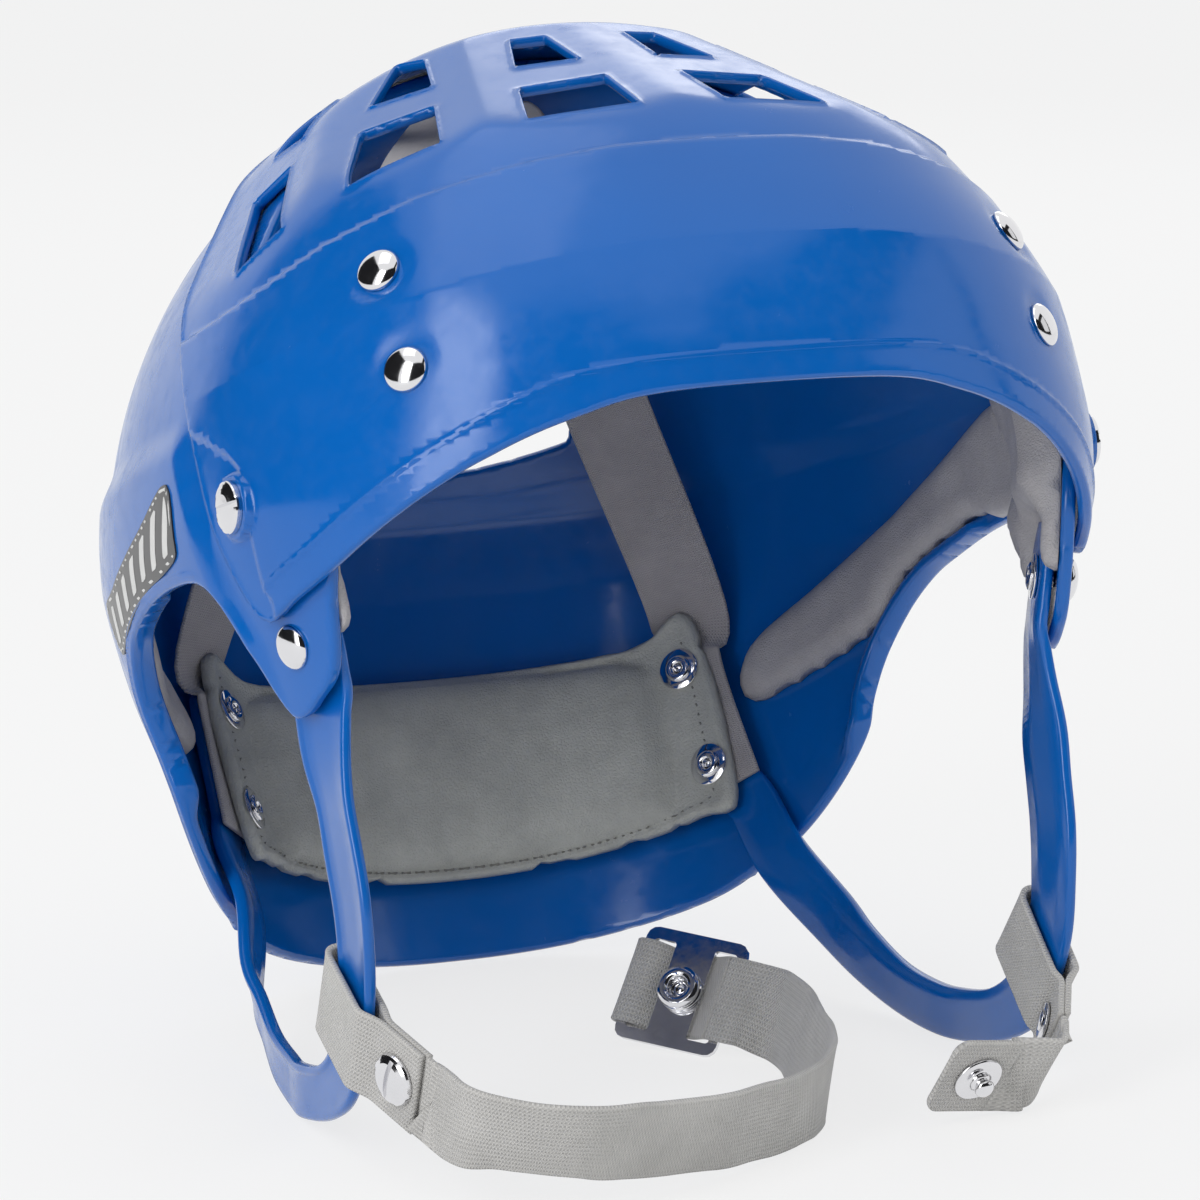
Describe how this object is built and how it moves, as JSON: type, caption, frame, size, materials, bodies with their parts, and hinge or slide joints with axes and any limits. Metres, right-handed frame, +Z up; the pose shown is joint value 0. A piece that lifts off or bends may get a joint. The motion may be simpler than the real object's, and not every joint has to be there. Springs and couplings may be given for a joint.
{
  "type": "ice hockey helmet",
  "caption": "Two-piece adjustable hockey helmet shell with vents, padded liner, crown webbing, ear loops and a chin strap with a slider and snap.",
  "frame": {"origin": "on the floor, under the middle of the helmet's box, as it stands on its ear loops and rear rim", "axes": "+X to the wearer's left, -Y ahead, +Z up; the helmet leans back by the angle at which it rests"},
  "size_m": [0.2012, 0.2539, 0.229],
  "materials": {
    "blue_plastic": "moulded gloss",
    "grey_vinyl": "grained vinyl over foam",
    "side_vinyl": "grained vinyl over foam",
    "crown_webbing": "flat woven",
    "chin_webbing": "flat woven",
    "label_film": "printed film",
    "chrome": "polished"
  },
  "bodies": {
    "rear": {"rear_shell": "blue_plastic", "neck_pad": "grey_vinyl", "left_side_pad": "side_vinyl", "right_side_pad": "side_vinyl", "left_crown_strap": "crown_webbing", "right_crown_strap": "crown_webbing", "neck_rivets": "chrome", "neck_washers": "chrome", "lug_rivets": "chrome", "lug_washers": "chrome", "left_ear_loop": "blue_plastic", "right_ear_loop": "blue_plastic", "left_label": "label_film", "right_label": "label_film", "chin_wrap": "chin_webbing", "chin_button": "chrome", "chin_washer": "chrome", "snap_wrap": "chin_webbing", "snap_rivet": "chrome", "snap_washer": "chrome"},
    "front": {"front_shell": "blue_plastic", "brow_pad": "grey_vinyl", "brow_rivets": "chrome", "brow_washers": "chrome", "left_size_nut": "chrome", "right_size_nut": "chrome"},
    "left_screw": {"left_size_screw": "chrome"},
    "right_screw": {"right_size_screw": "chrome"},
    "chin": {"chin_strap": "chin_webbing"},
    "slider_set": {"slider": "chrome", "slider_fold": "chin_webbing", "snap_socket": "chrome", "socket_rivet": "chrome"},
    "snap": {"snap_strap": "chin_webbing", "snap_stud": "chrome"}
  },
  "joints": [
    {"name": "size_adjust", "type": "slide", "parent": "rear", "child": "front", "axis": [0, -0.8491, 0.5283], "range_m": [0, 0.008], "deforming": ["left_crown_strap", "right_crown_strap"]},
    {"name": "left_screw_turn", "type": "hinge", "parent": "front", "child": "left_screw", "pos_m": [0.09632, -0.05125, 0.13761], "axis": [0.9945, -0.0995, 0.0321], "continuous": true},
    {"name": "right_screw_turn", "type": "hinge", "parent": "front", "child": "right_screw", "pos_m": [-0.09632, -0.05125, 0.13761], "axis": [-0.9945, -0.0995, 0.0321], "continuous": true},
    {"name": "chin_strap_swing", "type": "hinge", "parent": "rear", "child": "chin", "pos_m": [-0.07249, -0.09293, 0.02095], "axis": [0, 0.3923, -0.9198], "range_deg": [0, 50]},
    {"name": "slider_adjust", "type": "slide", "parent": "chin", "child": "slider_set", "axis": [0.6598, -0.7448, -0.1], "range_m": [0, 0.006], "deforming": ["chin_strap"]},
    {"name": "snap_strap_swing", "type": "hinge", "parent": "rear", "child": "snap", "pos_m": [0.07395, -0.08166, 0.01323], "axis": [0, -0.6441, 0.7649], "range_deg": [0, 50]}
  ]
}
